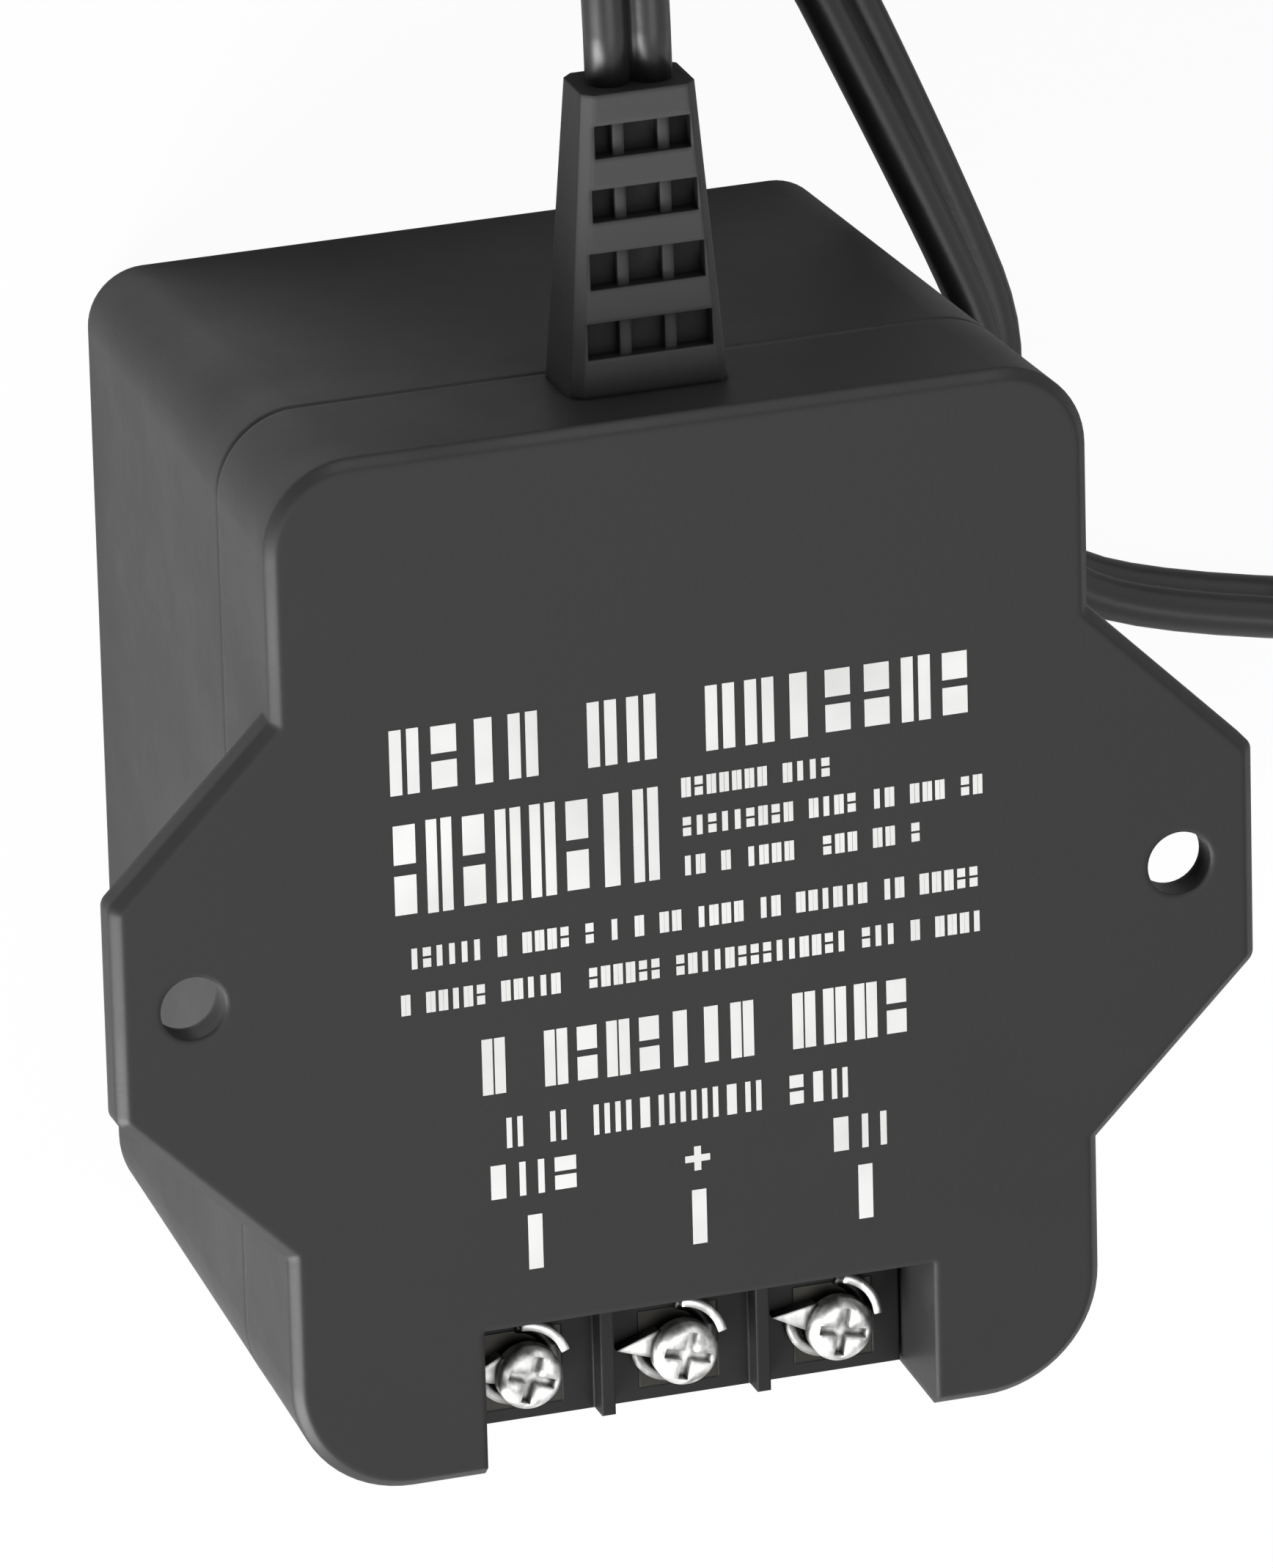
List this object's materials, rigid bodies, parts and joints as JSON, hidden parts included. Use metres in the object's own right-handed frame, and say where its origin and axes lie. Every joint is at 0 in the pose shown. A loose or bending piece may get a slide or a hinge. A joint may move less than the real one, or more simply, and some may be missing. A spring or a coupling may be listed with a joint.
{
  "type": "power supply",
  "caption": "Moulded mains power supply module with two mounting ears, screw terminals in a notch, a ribbed cord boot and a corded two-blade plug.",
  "frame": {"origin": "centre of the case's flat back face, on the surface that the unit lies on", "axes": "+Z out of the front plate, +Y from the terminals to the cord boot, +X to the right seen from the front"},
  "size_m": [0.1701, 0.1735, 0.0555],
  "materials": {
    "case_plastic": "dark grey moulded ABS, fine matte texture",
    "boot_plastic": "soft black PVC",
    "block_plastic": "black phenolic",
    "contact_plate": "nickel-plated brass",
    "plated_steel": "zinc-plated steel",
    "core_steel": "varnished silicon steel laminations",
    "bobbin_nylon": "natural nylon",
    "winding_copper": "enamelled copper wire",
    "board_laminate": "green glass-epoxy laminate",
    "diode_epoxy": "black epoxy",
    "capacitor_sleeve": "shrink sleeve",
    "fuse_glass": "glass tube",
    "cord_pvc": "black flexible PVC",
    "tie_plastic": "black tie",
    "blade_brass": "bare brass"
  },
  "bodies": {
    "root": {"front_cover": "case_plastic", "rear_shell": "case_plastic", "cord_boot": "boot_plastic", "terminal_block": "block_plastic", "transformer_core": "core_steel", "bobbin": "bobbin_nylon", "primary_winding": "winding_copper", "secondary_winding": "winding_copper", "circuit_board": "board_laminate", "filter_capacitor": "capacitor_sleeve", "fuse": "fuse_glass", "cord_lead": "cord_pvc", "cord_coil": "cord_pvc", "cord_tail": "cord_pvc", "cord_tie": "tie_plastic", "plug_body": "cord_pvc", "plug_blade_1": "blade_brass", "plug_blade_2": "blade_brass", "terminal_plate_1": "contact_plate", "wire_clamp_1": "plated_steel", "terminal_screw_1": "plated_steel", "terminal_plate_2": "contact_plate", "wire_clamp_2": "plated_steel", "terminal_screw_2": "plated_steel", "terminal_plate_3": "contact_plate", "wire_clamp_3": "plated_steel", "terminal_screw_3": "plated_steel", "rectifier_diode_1": "diode_epoxy", "rectifier_diode_2": "diode_epoxy", "rectifier_diode_3": "diode_epoxy", "rectifier_diode_4": "diode_epoxy"}
  },
  "joints": []
}
